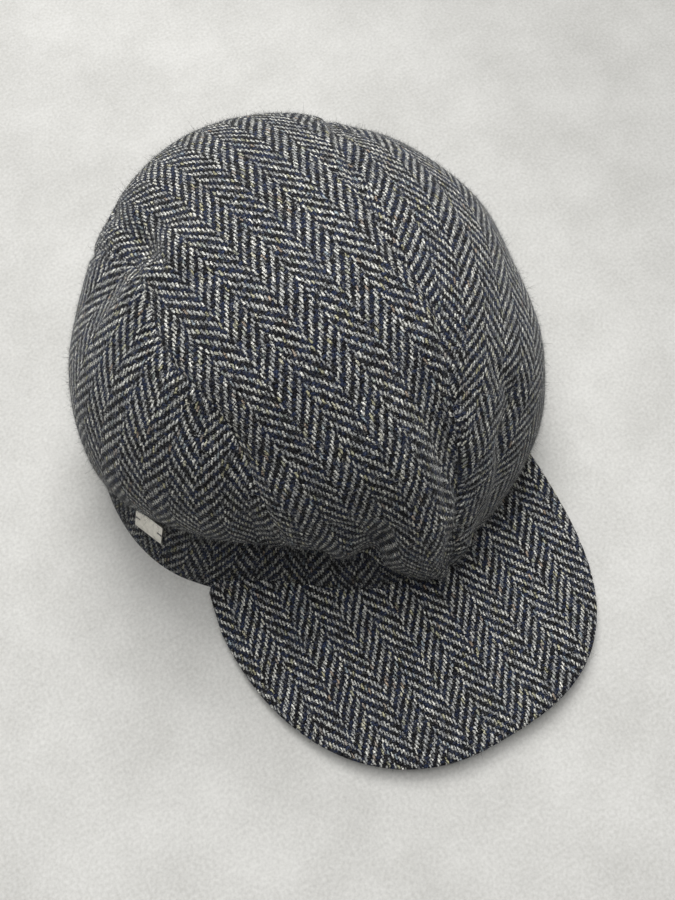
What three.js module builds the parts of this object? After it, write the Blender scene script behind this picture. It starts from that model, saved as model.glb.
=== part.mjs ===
// Peaked tweed cap: a crown of three panels, an outer band and a stiff peak.
// Millimetres. Front is -Y, the wearer's left is +X, up is +Z, the floor is z = 0.
// Azimuth is in degrees about the head's upright axis, 0 at the front and
// positive toward the wearer's left. Rise is in degrees, 90 at the crown's top,
// 0 where the crown is widest and -90 where it meets the band.
import * as THREE from 'three';

// Head hollow and band
const RIM_RADIUS = 94;          // outside of the band at the floor, front and back
const RIM_RIGHT = 101;          // the same at the wearer's right
const RIM_LEFT = 95;            // the same at the wearer's left
const BAND_HEIGHT = 36;
const BAND_CLOTH = 3.2;         // two layers of tweed with a stay between them
const LEAN_MEAN = 12;           // how far the band's top leans in, round the head
const LEAN_SWING = 13;          // more lean at the front right, less at the back left
const LEAN_AZIMUTH = -45;
const FLAT_AZIMUTH = -38;       // the flattened stretch of the rim beside the peak
const FLAT_SPAN = 22;
const FLAT_DEPTH = 11;

// Peak
const PEAK_HALF = 78.5;
const PEAK_CENTRE_X = -3.5;
const PEAK_SIDE = 22;           // its rounding begins this far behind the band's front
const PEAK_REACH = 92;          // from there to the tip
const PEAK_THICK = 4.6;
const PEAK_CORNER = 2.5;        // how far each corner stands off the band
const PEAK_CLEAR = 0.8;         // the peak's lowest edge above the floor
const PEAK_MIDDLE_LIFT = 2.6;   // how much higher its middle is
const PEAK_LEFT_LIFT = 1.2;     // how much higher its left edge is than its right edge
const PEAK_STRAIGHT = 0.12;     // share of its outline that is straight, at each side
const PEAK_ROUNDED = 0.1;       // share of its depth over which the edge rounds
const PEAK_EDGE = 0.3;          // share of its thickness left at the very edge
const PEAK_ROUND_RIGHT = 2.15;  // corner shape of the outline on the wearer's right
const PEAK_ROUND_LEFT = 2.9;
const PEAK_AZIMUTH_RIGHT = -56;
const PEAK_AZIMUTH_LEFT = 50;

// Crown
const CROWN_RADIUS = 100;
const CROWN_TOP = 108;
const CROWN_CLOTH = 2.4;
const CROWN_ROUND = 2.1;        // 2 is an ellipse, more is squarer
const TOP_SHIFT_X = 3;          // the top sits back and toward the wearer's left
const TOP_SHIFT_Y = 11;
const HEM_DROP = 12;            // from the widest level to where the crown meets the band
const HEM_SAG = 4;              // the overhang hangs lower than its hem
const HEM_LOWEST = PEAK_CLEAR + PEAK_MIDDLE_LIFT + PEAK_LEFT_LIFT + PEAK_THICK + HEM_SAG;
const HEM_OFF_BAND = 0.45;
const HEM_UNDER_TOP = 1;        // least height of the band's top above the hem's cloth
const OVERHANG_LEAST = 1.4;     // least reach of the crown beyond its own cloth at the hem
const BLEND = 2;                // softness where two rules of the outline meet
const FOLD_CENTRE_Z = 40;       // folds are pushed toward or from this point

// Plaque
const PLAQUE_LONG = 15.4;
const PLAQUE_TALL = 9.8;
const PLAQUE_THICK = 1;
const PLAQUE_AZIMUTH = -78;
const PLAQUE_LEVEL = 16.4;
const PLAQUE_TURN = -12;        // degrees about its own face
const PLAQUE_SPAN = 8;          // height of band that it lies along
const PLAQUE_OFF_BAND = 0.75;

const GAP = 0.3;
const SEAM_GAP = 0.18;          // degrees from a seam's middle to each cloth edge
const SEAM_STEPS = 15;          // cells along a seam from its hem to the widest level

// Round the crown: reach is a share of CROWN_RADIUS at the widest level,
// level is the height of that level as a share of CROWN_TOP.
const ROUND_THE_CROWN = [
  { azimuth: -135, reach: 0.985, level: 0.47 },
  { azimuth: -96, reach: 0.975, level: 0.34 },
  { azimuth: -60, reach: 0.79, level: 0.42 },
  { azimuth: -35, reach: 0.715, level: 0.40 },
  { azimuth: -16, reach: 0.72, level: 0.385 },
  { azimuth: -6, reach: 0.81, level: 0.31 },
  { azimuth: 3, reach: 0.955, level: 0.18 },
  { azimuth: 11, reach: 0.96, level: 0.15 },
  { azimuth: 20, reach: 0.89, level: 0.17 },
  { azimuth: 33, reach: 0.92, level: 0.20 },
  { azimuth: 55, reach: 0.98, level: 0.23 },
  { azimuth: 85, reach: 0.96, level: 0.39 },
  { azimuth: 125, reach: 1.03, level: 0.46 },
  { azimuth: 180, reach: 1.125, level: 0.50 },
];

// Half angle of the centre panel to each side, by pitch from the front (0),
// over the top (90) to the back (180).
const SEAMS = [
  { pitch: 0, right: 35.5, left: 9 },
  { pitch: 45, right: 39, left: 19 },
  { pitch: 90, right: 41, left: 30 },
  { pitch: 135, right: 38, left: 32 },
  { pitch: 180, right: 36, left: 30 },
];

// Soft folds and dents: a line on the crown between two places (azimuth, rise),
// how far it is pushed out (in if negative) and how wide it is, as shares of
// CROWN_RADIUS.
const FOLDS = [
  { from: [-9, 12], to: [-6, 26], push: -0.036, width: 0.09 },
  { from: [22, 48], to: [8, 10], push: -0.03, width: 0.08 },
  { from: [48, 30], to: [26, 12], push: -0.03, width: 0.09 },
  { from: [-66, 40], to: [-52, 34], push: -0.026, width: 0.08 },
  { from: [-146, 32], to: [-126, 26], push: -0.045, width: 0.12 },
  { from: [-132, 44], to: [-118, 34], push: 0.024, width: 0.09 },
  { from: [-52, 22], to: [-46, 4], push: -0.026, width: 0.09 },
  { from: [-34, 24], to: [-30, 4], push: 0.024, width: 0.1 },
  { from: [64, 34], to: [88, 12], push: -0.022, width: 0.11 },
  { from: [140, 24], to: [150, 2], push: -0.02, width: 0.12 },
];

const rad = (degrees) => degrees * Math.PI / 180;
const mix = (a, b, t) => a + (b - a) * t;
const larger = (a, b, soft) => (a + b + Math.hypot(a - b, soft)) / 2;
const smaller = (a, b, soft) => (a + b - Math.hypot(a - b, soft)) / 2;

// Smooth curve through rows of a table; round the head when turn is given.
function through(rows, at, key, x, turn) {
  const n = rows.length;
  const row = (i) => {
    if (!turn) {
      return rows[Math.min(Math.max(i, 0), n - 1)];
    }
    return rows[((i % n) + n) % n];
  };
  const place = (i) => {
    if (!turn) {
      return row(i)[at] + (i < 0 ? i * 45 : 0) + (i >= n ? (i - n + 1) * 45 : 0);
    }
    return row(i)[at] + Math.floor(i / n) * turn;
  };
  let value = x;
  if (turn) {
    value = ((x - rows[0][at]) % turn + turn) % turn + rows[0][at];
  }
  let i = 0;
  while (i < n - 1 + (turn ? 1 : -1) && place(i + 1) < value) {
    i += 1;
  }
  const x0 = place(i);
  const x1 = place(i + 1);
  const t = Math.min(Math.max((value - x0) / (x1 - x0), 0), 1);
  const slope = (j) => (row(j + 1)[key] - row(j - 1)[key]) / (place(j + 1) - place(j - 1));
  const m0 = slope(i) * (x1 - x0);
  const m1 = slope(i + 1) * (x1 - x0);
  const t2 = t * t;
  const t3 = t2 * t;
  return (2 * t3 - 3 * t2 + 1) * row(i)[key] + (t3 - 2 * t2 + t) * m0
    + (3 * t2 - 2 * t3) * row(i + 1)[key] + (t3 - t2) * m1;
}

// Outside of the band at an azimuth and a height.
function bandRadius(azimuth, z) {
  const x = Math.sin(rad(azimuth));
  const y = -Math.cos(rad(azimuth));
  const side = x > 0 ? RIM_LEFT : RIM_RIGHT;
  const oval = 1 / Math.hypot(x / side, y / RIM_RADIUS);
  const off = ((azimuth - FLAT_AZIMUTH + 540) % 360) - 180;
  const flat = FLAT_DEPTH * Math.exp(-((off / FLAT_SPAN) ** 2));
  const lean = LEAN_MEAN + LEAN_SWING * Math.cos(rad(azimuth - LEAN_AZIMUTH));
  return oval - flat - lean * z / BAND_HEIGHT;
}

function around(azimuth, radius, z) {
  return new THREE.Vector3(radius * Math.sin(rad(azimuth)), -radius * Math.cos(rad(azimuth)), z);
}

// The crown without its folds.
function dome(azimuth, rise) {
  const level = CROWN_TOP * through(ROUND_THE_CROWN, 'azimuth', 'level', azimuth, 360);
  const lowest = larger(level - HEM_DROP, HEM_LOWEST, BLEND);
  const hem = smaller(lowest, BAND_HEIGHT - CROWN_CLOTH - HEM_UNDER_TOP, BLEND);
  const inner = bandRadius(azimuth, hem) + HEM_OFF_BAND;
  const wide = CROWN_RADIUS * through(ROUND_THE_CROWN, 'azimuth', 'reach', azimuth, 360);
  const reach = larger(wide, inner + CROWN_CLOTH + OVERHANG_LEAST, BLEND);
  if (rise < 0) {
    const w = Math.min(-rise / 90, 1);
    const radius = (1 - w * w) * reach + w * w * inner;
    const z = (1 - w) ** 2 * level + 2 * w * (1 - w) * (hem - HEM_SAG) + w * w * hem;
    return around(azimuth, radius, z);
  }
  const high = CROWN_TOP - level;
  const slope = Math.tan(rad(Math.min(rise, 89.99)));
  const radius = (reach ** -CROWN_ROUND + (slope / high) ** CROWN_ROUND) ** (-1 / CROWN_ROUND);
  const z = level + radius * slope;
  const up = ((z - level) / high) ** 2;
  const point = around(azimuth, radius, z);
  point.x += TOP_SHIFT_X * up;
  point.y += TOP_SHIFT_Y * up;
  return point;
}

const creases = FOLDS.map((fold) => ({
  ...fold,
  line: new THREE.Line3(dome(...fold.from), dome(...fold.to)),
}));

function crown(azimuth, rise) {
  const point = dome(azimuth, rise);
  const out = point.clone().sub(new THREE.Vector3(0, 0, FOLD_CENTRE_Z)).normalize();
  const near = new THREE.Vector3();
  let push = 0;
  for (const fold of creases) {
    fold.line.closestPointToPoint(point, true, near);
    const away = near.distanceTo(point) / CROWN_RADIUS;
    push += CROWN_RADIUS * fold.push * Math.exp(-((away / fold.width) ** 2));
  }
  const hem = Math.min(Math.max((rise + 90) / 60, 0), 1);
  return point.addScaledVector(out, push * hem);
}

// Place on the crown by pitch over the head and angle off its middle line.
function overHead(pitch, off) {
  if (pitch < 0) {
    return [off, pitch];
  }
  if (pitch > 180) {
    return [180 - off, 180 - pitch];
  }
  const x = Math.sin(rad(off));
  const y = -Math.cos(rad(off)) * Math.cos(rad(pitch));
  const z = Math.cos(rad(off)) * Math.sin(rad(pitch));
  return [Math.atan2(x, -y) * 180 / Math.PI, Math.asin(Math.min(z, 1)) * 180 / Math.PI];
}

function seamAngle(side, pitch) {
  const clipped = Math.min(Math.max(pitch, 0), 180);
  return through(SEAMS, 'pitch', side, clipped, 0) * (side === 'left' ? 1 : -1);
}

// A closed shell over a grid: place(s, t) is its outside, cloth its thickness.
// t runs anticlockwise from s as seen from outside.
function shell(place, across, along, cloth, turned) {
  const small = 1e-3;
  const outside = [];
  const inside = [];
  for (let i = 0; i <= across; i += 1) {
    for (let j = 0; j <= along; j += 1) {
      const s = i / across;
      const t = j / along;
      const ds = place(Math.min(s + small, 1), t).sub(place(Math.max(s - small, 0), t));
      const dt = place(s, Math.min(t + small, 1)).sub(place(s, Math.max(t - small, 0)));
      const normal = ds.cross(dt).normalize();
      const point = place(s, t);
      outside.push(point);
      inside.push(point.clone().addScaledVector(normal, -cloth));
    }
  }
  return lattice(outside, inside, across, along, false, turned);
}

// Triangles of a closed body between two grids of points. turned(j) says where
// a cell is cut along its other diagonal.
function lattice(outside, inside, across, along, ring, turned) {
  const count = outside.length;
  const positions = [];
  for (const p of [...outside, ...inside]) {
    positions.push(p.x, p.y, p.z);
  }
  const at = (i, j) => (ring ? i % across : i) * (along + 1) + j;
  const faces = [];
  const quad = (a, b, c, d) => faces.push(a, b, c, a, c, d);
  const cell = (j, a, b, c, d) => (turned && turned(j) ? quad(b, c, d, a) : quad(a, b, c, d));
  for (let i = 0; i < across; i += 1) {
    for (let j = 0; j < along; j += 1) {
      const [a, b, c, d] = [at(i, j), at(i + 1, j), at(i + 1, j + 1), at(i, j + 1)];
      cell(j, a, b, c, d);
      cell(j, a + count, d + count, c + count, b + count);
    }
    quad(at(i, 0) + count, at(i + 1, 0) + count, at(i + 1, 0), at(i, 0));
    quad(at(i, along), at(i + 1, along), at(i + 1, along) + count, at(i, along) + count);
  }
  if (!ring) {
    for (let j = 0; j < along; j += 1) {
      quad(at(0, j), at(0, j + 1), at(0, j + 1) + count, at(0, j) + count);
      quad(at(across, j) + count, at(across, j + 1) + count, at(across, j + 1), at(across, j));
    }
  }
  const geometry = new THREE.BufferGeometry();
  geometry.setAttribute('position', new THREE.Float32BufferAttribute(positions, 3));
  geometry.setIndex(faces);
  return geometry;
}

// Centre panel, from the front hem over the top to the back hem.
function centrePanel() {
  const place = (s, t) => {
    const pitch = mix(-90, 270, t);
    const right = seamAngle('right', pitch) + SEAM_GAP;
    const left = seamAngle('left', pitch) - SEAM_GAP;
    return crown(...overHead(pitch, mix(right, left, s)));
  };
  return shell(place, 14, 4 * SEAM_STEPS, CROWN_CLOTH);
}

// A side panel, from the seam down to the hem, front to back.
function sidePanel(side) {
  const sign = side === 'left' ? 1 : -1;
  const place = (s, t) => {
    const pitch = mix(0, 180, t);
    const off = seamAngle(side, pitch) + sign * SEAM_GAP;
    const [azimuth, rise] = overHead(pitch, off);
    return crown(azimuth, mix(rise, -90, side === 'left' ? s : 1 - s));
  };
  const turned = (j) => (j < SEAM_STEPS) === (side === 'right');
  return shell(place, SEAM_STEPS, 2 * SEAM_STEPS, CROWN_CLOTH, turned);
}

function band() {
  const round = 96;
  const up = 4;
  const outside = [];
  const inside = [];
  for (let i = 0; i < round; i += 1) {
    for (let j = 0; j <= up; j += 1) {
      const azimuth = 360 * i / round;
      const z = BAND_HEIGHT * j / up;
      const radius = bandRadius(azimuth, z);
      outside.push(around(azimuth, radius, z));
      inside.push(around(azimuth, radius - BAND_CLOTH, z));
    }
  }
  return lattice(outside, inside, round, up, true);
}

// Outline of the peak from its right corner round the tip to its left corner.
function peakEdge(s) {
  const corner = (azimuth) => around(azimuth, bandRadius(azimuth, 0) + PEAK_CORNER, 0);
  const straight = PEAK_STRAIGHT;
  const side = PEAK_SIDE - RIM_RADIUS;
  const start = new THREE.Vector3(PEAK_CENTRE_X - PEAK_HALF, side, 0);
  const end = new THREE.Vector3(PEAK_CENTRE_X + PEAK_HALF, side, 0);
  if (s < straight) {
    return corner(PEAK_AZIMUTH_RIGHT).lerp(start, s / straight);
  }
  if (s > 1 - straight) {
    return corner(PEAK_AZIMUTH_LEFT).lerp(end, (1 - s) / straight);
  }
  const turn = mix(-90, 90, (s - straight) / (1 - 2 * straight));
  const power = 2 / (turn < 0 ? PEAK_ROUND_RIGHT : PEAK_ROUND_LEFT);
  const across = Math.sign(turn) * Math.abs(Math.sin(rad(turn))) ** power;
  const forward = Math.abs(Math.cos(rad(turn))) ** power;
  return new THREE.Vector3(
    PEAK_CENTRE_X + PEAK_HALF * across,
    side - PEAK_REACH * forward,
    0,
  );
}

function peakUnder(x) {
  const across = (x - PEAK_CENTRE_X) / PEAK_HALF;
  return PEAK_CLEAR + PEAK_MIDDLE_LIFT * Math.max(1 - across ** 2, 0) + PEAK_LEFT_LIFT * (across + 1) / 2;
}

function peak() {
  const across = 48;
  const along = 10;
  const steps = [0, 0.14, 0.28, 0.42, 0.56, 0.7, 0.82].concat(
    [1, 0.5, 0.15, 0].map((left) => 1 - PEAK_ROUNDED * left),
  );
  const upper = [];
  const lower = [];
  for (let i = 0; i <= across; i += 1) {
    const s = i / across;
    const azimuth = mix(PEAK_AZIMUTH_RIGHT, PEAK_AZIMUTH_LEFT, s);
    const outer = peakEdge(s);
    for (let j = 0; j <= along; j += 1) {
      const middle = around(azimuth, bandRadius(azimuth, 0) + GAP, 0).lerp(outer, steps[j]);
      const z = peakUnder(middle.x) + PEAK_THICK / 2;
      const fromEdge = (1 - steps[j]) / PEAK_ROUNDED;
      const round = Math.sqrt(1 - Math.max(1 - fromEdge, 0) ** 2);
      const full = mix(PEAK_EDGE, 1, round);
      upper.push(middle.clone().setZ(z + PEAK_THICK / 2 * full));
      lower.push(middle.clone().setZ(z - PEAK_THICK / 2 * full));
    }
  }
  return lattice(lower, upper, across, along, false);
}

function plaque() {
  const geometry = new THREE.BoxGeometry(PLAQUE_LONG, PLAQUE_THICK, PLAQUE_TALL);
  const on = (azimuth, z) => around(azimuth, bandRadius(azimuth, z), z);
  const low = on(PLAQUE_AZIMUTH, PLAQUE_LEVEL - PLAQUE_SPAN / 2);
  const high = on(PLAQUE_AZIMUTH, PLAQUE_LEVEL + PLAQUE_SPAN / 2);
  const aside = PLAQUE_LONG / RIM_RADIUS * 90 / Math.PI;
  const ahead = on(PLAQUE_AZIMUTH + aside, PLAQUE_LEVEL);
  const behind = on(PLAQUE_AZIMUTH - aside, PLAQUE_LEVEL);
  const long = ahead.clone().sub(behind).normalize();
  const out = long.clone().cross(high.clone().sub(low)).normalize();
  const tall = out.clone().cross(long).normalize();
  const turn = new THREE.Matrix4().makeBasis(long, out.clone().negate(), tall);
  const place = ahead.add(behind).multiplyScalar(0.5);
  place.addScaledVector(out, PLAQUE_OFF_BAND + PLAQUE_THICK / 2);
  geometry.applyMatrix4(new THREE.Matrix4().makeRotationY(rad(PLAQUE_TURN)));
  geometry.applyMatrix4(turn.setPosition(place));
  return geometry;
}

// Materials
const tweed = () => new THREE.MeshStandardMaterial({ color: 0x55585c, roughness: 0.95 });
const steel = () => new THREE.MeshStandardMaterial({ color: 0xc9c4b8, roughness: 0.35, metalness: 1 });

// Assembly, with the origin on the floor under the middle of the cap's box
const parts = [
  ['crown_centre', centrePanel(), tweed()],
  ['crown_left', sidePanel('left'), tweed()],
  ['crown_right', sidePanel('right'), tweed()],
  ['band', band(), tweed()],
  ['peak', peak(), tweed()],
  ['plaque', plaque(), steel()],
];
const box = new THREE.Box3();
for (const [, geometry] of parts) {
  geometry.computeBoundingBox();
  box.union(geometry.boundingBox);
}
const middle = box.getCenter(new THREE.Vector3());
const cap = new THREE.Group();
cap.name = 'tweed_cap';
for (const [name, geometry, material] of parts) {
  geometry.translate(-middle.x, -middle.y, 0);
  const mesh = new THREE.Mesh(geometry, material);
  mesh.name = name;
  cap.add(mesh);
}

export default cap;
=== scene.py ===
"""Peaked herringbone tweed cap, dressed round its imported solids.

Shapes are worked out in millimetres about the head's upright axis and put
into the frame in metres. Azimuth is in degrees, 0 at the front and positive
toward the wearer's left. Rise is 90 at the crown's top, 0 where the crown is
widest and -90 where it meets the band.
"""

import math

import bpy
import numpy as np
from mathutils import Matrix, Vector, kdtree


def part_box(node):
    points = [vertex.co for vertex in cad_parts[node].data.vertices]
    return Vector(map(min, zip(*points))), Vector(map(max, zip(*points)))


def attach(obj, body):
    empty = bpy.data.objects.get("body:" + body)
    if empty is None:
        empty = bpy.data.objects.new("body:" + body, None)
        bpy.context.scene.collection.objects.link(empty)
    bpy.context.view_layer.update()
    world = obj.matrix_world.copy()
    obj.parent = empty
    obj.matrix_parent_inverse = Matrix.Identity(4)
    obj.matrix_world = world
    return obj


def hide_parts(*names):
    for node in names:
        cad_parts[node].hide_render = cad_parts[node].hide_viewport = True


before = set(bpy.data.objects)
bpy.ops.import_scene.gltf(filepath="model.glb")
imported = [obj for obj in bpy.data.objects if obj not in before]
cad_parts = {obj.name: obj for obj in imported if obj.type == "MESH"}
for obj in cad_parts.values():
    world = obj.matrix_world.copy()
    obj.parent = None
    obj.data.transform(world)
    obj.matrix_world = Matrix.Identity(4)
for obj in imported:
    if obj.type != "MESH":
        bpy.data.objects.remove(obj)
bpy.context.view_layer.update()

MM = 0.001

# Head hollow and band
RIM_RADIUS = 94.0
RIM_RIGHT = 101.0
RIM_LEFT = 95.0
BAND_HEIGHT = 36.0
BAND_CLOTH = 3.2
BAND_SLACK = 0.25  # soft unevenness of its cloth
HEM_TURN = 0.8  # how far its lower edge rounds in, and over what height
HEM_TURN_TALL = 1.6
BACK_SEAM = 1.0  # depth and width of its seam at the back
BACK_SEAM_WIDE = 1.8
LEAN_MEAN = 12.0
LEAN_SWING = 13.0
LEAN_AZIMUTH = -45.0
FLAT_AZIMUTH = -38.0
FLAT_SPAN = 22.0
FLAT_DEPTH = 11.0

# Crown
CROWN_RADIUS = 100.0
CROWN_TOP = 108.0
CROWN_CLOTH = 2.4
CROWN_ROUND = 2.1
TOP_SHIFT_X = 3.0
TOP_SHIFT_Y = 11.0
HEM_DROP = 12.0
HEM_SAG = 4.0
HEM_LOWEST = 13.2
FOLD_CENTRE_Z = 40.0
HEM_CLEAR = 0.45

# Peak
PEAK_HALF = 78.5
PEAK_CENTRE_X = -3.5
PEAK_ROUND_Y = -72.0
PEAK_REACH = 92.0
PEAK_THICK = 4.6
PEAK_ROUND_RIGHT = 2.15
PEAK_ROUND_LEFT = 2.9
PEAK_AZIMUTH_RIGHT = -56.0
PEAK_AZIMUTH_LEFT = 50.0
PEAK_CLEAR = 0.8
PEAK_ARCH = 2.6  # how much higher its middle is than its sides
PEAK_LIFT = 1.2  # how much higher its left edge is than its right edge
PEAK_CORNER = 2.5  # how far each corner stands off the band
PEAK_STRAIGHT = 0.12  # share of its outline that is straight, at each side
PEAK_ROUNDED = 0.1  # share of its depth over which its edge rounds
PEAK_EDGE = 0.3  # share of its thickness left at the very edge
PEAK_SLACK = 0.12  # soft unevenness of its top
PEAK_TO_CLOTH = 0.1  # the gap where its cloth meets the band's
PEAK_FOLLOW = 7.0  # how far from the band its top draws in to it
PEAK_COLUMN_EDGE = -63.7  # where a column of the weave starts, from the head's axis
EDGE_GROOVE = 0.7  # depth of the seam round its edge
SEAM_TUCK = 0.8  # how far its top dips at the band, and over what width
SEAM_TUCK_WIDE = 1.8

SEAM_HALF = 0.06  # degrees from a seam's middle to each cloth edge

# Round the crown: reach as a share of CROWN_RADIUS, level as a share of CROWN_TOP
ROUND_AZIMUTH = (-135, -96, -60, -35, -16, -6, 3, 11, 20, 33, 55, 85, 125, 180)
ROUND_REACH = (
    0.985, 0.975, 0.79, 0.715, 0.72, 0.81, 0.955, 0.96, 0.89, 0.92, 0.98, 0.96, 1.03, 1.125
)
ROUND_LEVEL = (
    0.47, 0.34, 0.42, 0.40, 0.385, 0.31, 0.18, 0.15, 0.17, 0.20, 0.23, 0.39, 0.46, 0.50
)

# Half angle of the centre panel to each side, from the front over the top to the back
SEAM_PITCH = (0, 45, 90, 135, 180)
SEAM_RIGHT = (35.5, 39, 41, 38, 36)
SEAM_LEFT = (9, 19, 30, 32, 30)

# Folds of the crown: from and to as (azimuth, rise), push and width in millimetres
FOLDS = (
    ((-9, 12), (-6, 26), -3.6, 9),
    ((22, 48), (8, 10), -3.0, 8),
    ((48, 30), (26, 12), -3.0, 9),
    ((-66, 40), (-52, 34), -2.6, 8),
    ((-146, 32), (-126, 26), -4.5, 12),
    ((-132, 44), (-118, 34), 2.4, 9),
    ((-52, 22), (-46, 4), -2.6, 9),
    ((-34, 24), (-30, 4), 2.4, 10),
    ((64, 34), (88, 12), -2.2, 11),
    ((140, 24), (150, 2), -2.0, 12),
)


def larger(a, b, soft):
    return (a + b + np.hypot(a - b, soft)) / 2


def smaller(a, b, soft):
    return (a + b - np.hypot(a - b, soft)) / 2


def through(stations, values, x, turn=0):
    """Smooth curve through a table's rows, round the head when turn is given."""
    at = np.asarray(stations, float)
    val = np.asarray(values, float)
    x = np.asarray(x, float)
    count = len(at)
    if turn:
        x = (x - at[0]) % turn + at[0]
        at = np.concatenate([at[-2:] - turn, at, at[:2] + turn])
        val = np.concatenate([val[-2:], val, val[:2]])
        low, high = 2, count + 1
    else:
        at = np.concatenate([at[:1] - 45, at, at[-1:] + 45])
        val = np.concatenate([val[:1], val, val[-1:]])
        low, high = 1, count - 1
    i = np.clip(np.searchsorted(at, x) - 1, low, high)
    t = np.clip((x - at[i]) / (at[i + 1] - at[i]), 0, 1)
    slope = (val[2:] - val[:-2]) / (at[2:] - at[:-2])
    span = at[i + 1] - at[i]
    m0 = slope[i - 1] * span
    m1 = slope[i] * span
    t2 = t * t
    t3 = t2 * t
    return (
        (2 * t3 - 3 * t2 + 1) * val[i]
        + (t3 - 2 * t2 + t) * m0
        + (3 * t2 - 2 * t3) * val[i + 1]
        + (t3 - t2) * m1
    )


def band_radius(azimuth, z):
    """Outside of the band at an azimuth and a height."""
    a = np.radians(azimuth)
    side = np.where(np.sin(a) > 0, RIM_LEFT, RIM_RIGHT)
    oval = 1 / np.hypot(np.sin(a) / side, np.cos(a) / RIM_RADIUS)
    off = (np.asarray(azimuth) - FLAT_AZIMUTH + 540) % 360 - 180
    flat = FLAT_DEPTH * np.exp(-((off / FLAT_SPAN) ** 2))
    lean = LEAN_MEAN + LEAN_SWING * np.cos(np.radians(azimuth - LEAN_AZIMUTH))
    return oval - flat - lean * z / BAND_HEIGHT


def around(azimuth, radius, z):
    a = np.radians(azimuth)
    x = radius * np.sin(a)
    y = -radius * np.cos(a)
    return np.stack([x, y, z + 0 * x], -1)


def dome(azimuth, rise):
    """The crown without its folds."""
    azimuth, rise = np.broadcast_arrays(np.asarray(azimuth, float), np.asarray(rise, float))
    level = CROWN_TOP * through(ROUND_AZIMUTH, ROUND_LEVEL, azimuth, 360)
    hem = smaller(larger(level - HEM_DROP, HEM_LOWEST, 2), BAND_HEIGHT - CROWN_CLOTH - 1, 2)
    inner = band_radius(azimuth, hem) + HEM_CLEAR
    wide = CROWN_RADIUS * through(ROUND_AZIMUTH, ROUND_REACH, azimuth, 360)
    reach = larger(wide, inner + CROWN_CLOTH + 1.4, 2)
    w = np.clip(-rise / 90, 0, 1)
    low_radius = (1 - w * w) * reach + w * w * inner
    low_z = (1 - w) ** 2 * level + 2 * w * (1 - w) * (hem - HEM_SAG) + w * w * hem
    high = CROWN_TOP - level
    slope = np.tan(np.radians(np.clip(rise, 0, 89.99)))
    radius = (reach**-CROWN_ROUND + (slope / high) ** CROWN_ROUND) ** (-1 / CROWN_ROUND)
    z = level + radius * slope
    up = np.where(rise < 0, 0, ((z - level) / high) ** 2)
    point = around(azimuth, np.where(rise < 0, low_radius, radius), np.where(rise < 0, low_z, z))
    point[..., 0] += TOP_SHIFT_X * up
    point[..., 1] += TOP_SHIFT_Y * up
    return point


def near_line(point, start, end):
    """Distance from each point to a straight stretch."""
    run = end - start
    t = np.clip((point - start) @ run / (run @ run), 0, 1)
    return np.linalg.norm(point - start - t[..., None] * run, axis=-1)


def crown(azimuth, rise):
    point = dome(azimuth, rise)
    out = point - np.array([0, 0, FOLD_CENTRE_Z])
    out /= np.linalg.norm(out, axis=-1, keepdims=True)
    push = 0
    for start, end, depth, width in FOLDS:
        away = near_line(point, dome(*start), dome(*end))
        push = push + depth * np.exp(-((away / width) ** 2))
    fade = np.clip((np.asarray(rise, float) + 90) / 60, 0, 1)
    return point + out * (push * fade)[..., None]


def over_head(pitch, off):
    """(azimuth, rise) of a place by pitch over the head and angle off its middle line."""
    p = np.radians(pitch)
    o = np.radians(off)
    x = np.sin(o)
    y = -np.cos(o) * np.cos(p)
    z = np.cos(o) * np.sin(p)
    azimuth = np.degrees(np.arctan2(x, -y))
    rise = np.degrees(np.arcsin(np.clip(z, -1, 1)))
    front = pitch < 0
    back = pitch > 180
    azimuth = np.where(front, off, np.where(back, 180 - off, azimuth))
    rise = np.where(front, pitch, np.where(back, 180 - pitch, rise))
    return azimuth, rise


def seam_angle(side, pitch):
    table = SEAM_LEFT if side > 0 else SEAM_RIGHT
    return side * through(SEAM_PITCH, table, np.clip(pitch, 0, 180))


def band_axis():
    """How far the head's axis lies from the frame's origin, in millimetres."""
    azimuth = np.arange(96) * 360 / 96
    ring = around(azimuth, band_radius(azimuth, 0.0), 0.0)
    low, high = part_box("band")
    x = (low.x + high.x) / 2 / MM - (ring[:, 0].min() + ring[:, 0].max()) / 2
    y = (low.y + high.y) / 2 / MM - (ring[:, 1].min() + ring[:, 1].max()) / 2
    return np.array([x, y, 0.0])


AXIS = band_axis()

# Cloth: one herringbone column, the yarns in it and the twill's repeat, in millimetres
COLUMN = 10.2
ENDS = 10
REPEAT = 5.3
UV_UNIT = 100.0  # millimetres of cloth to one unit of the UV map


def use(ob):
    """Makes ob the only selected object and the active one."""
    bpy.ops.object.select_all(action="DESELECT")
    ob.select_set(True)
    bpy.context.view_layer.objects.active = ob


def shape_with(ob, kind, **settings):
    """Adds a modifier of that kind and applies it."""
    modifier = ob.modifiers.new(kind.lower(), kind)
    for name, value in settings.items():
        setattr(modifier, name, value)
    use(ob)
    bpy.ops.object.modifier_apply(modifier=modifier.name)


def places(ob):
    co = np.empty(len(ob.data.vertices) * 3)
    ob.data.vertices.foreach_get("co", co)
    return co.reshape(-1, 3)


def normals(ob):
    out = np.empty(len(ob.data.vertices) * 3)
    ob.data.vertex_normals.foreach_get("vector", out)
    return out.reshape(-1, 3)


def put_places(ob, co):
    ob.data.vertices.foreach_set("co", np.ascontiguousarray(co, float).ravel())
    ob.data.update()


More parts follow.
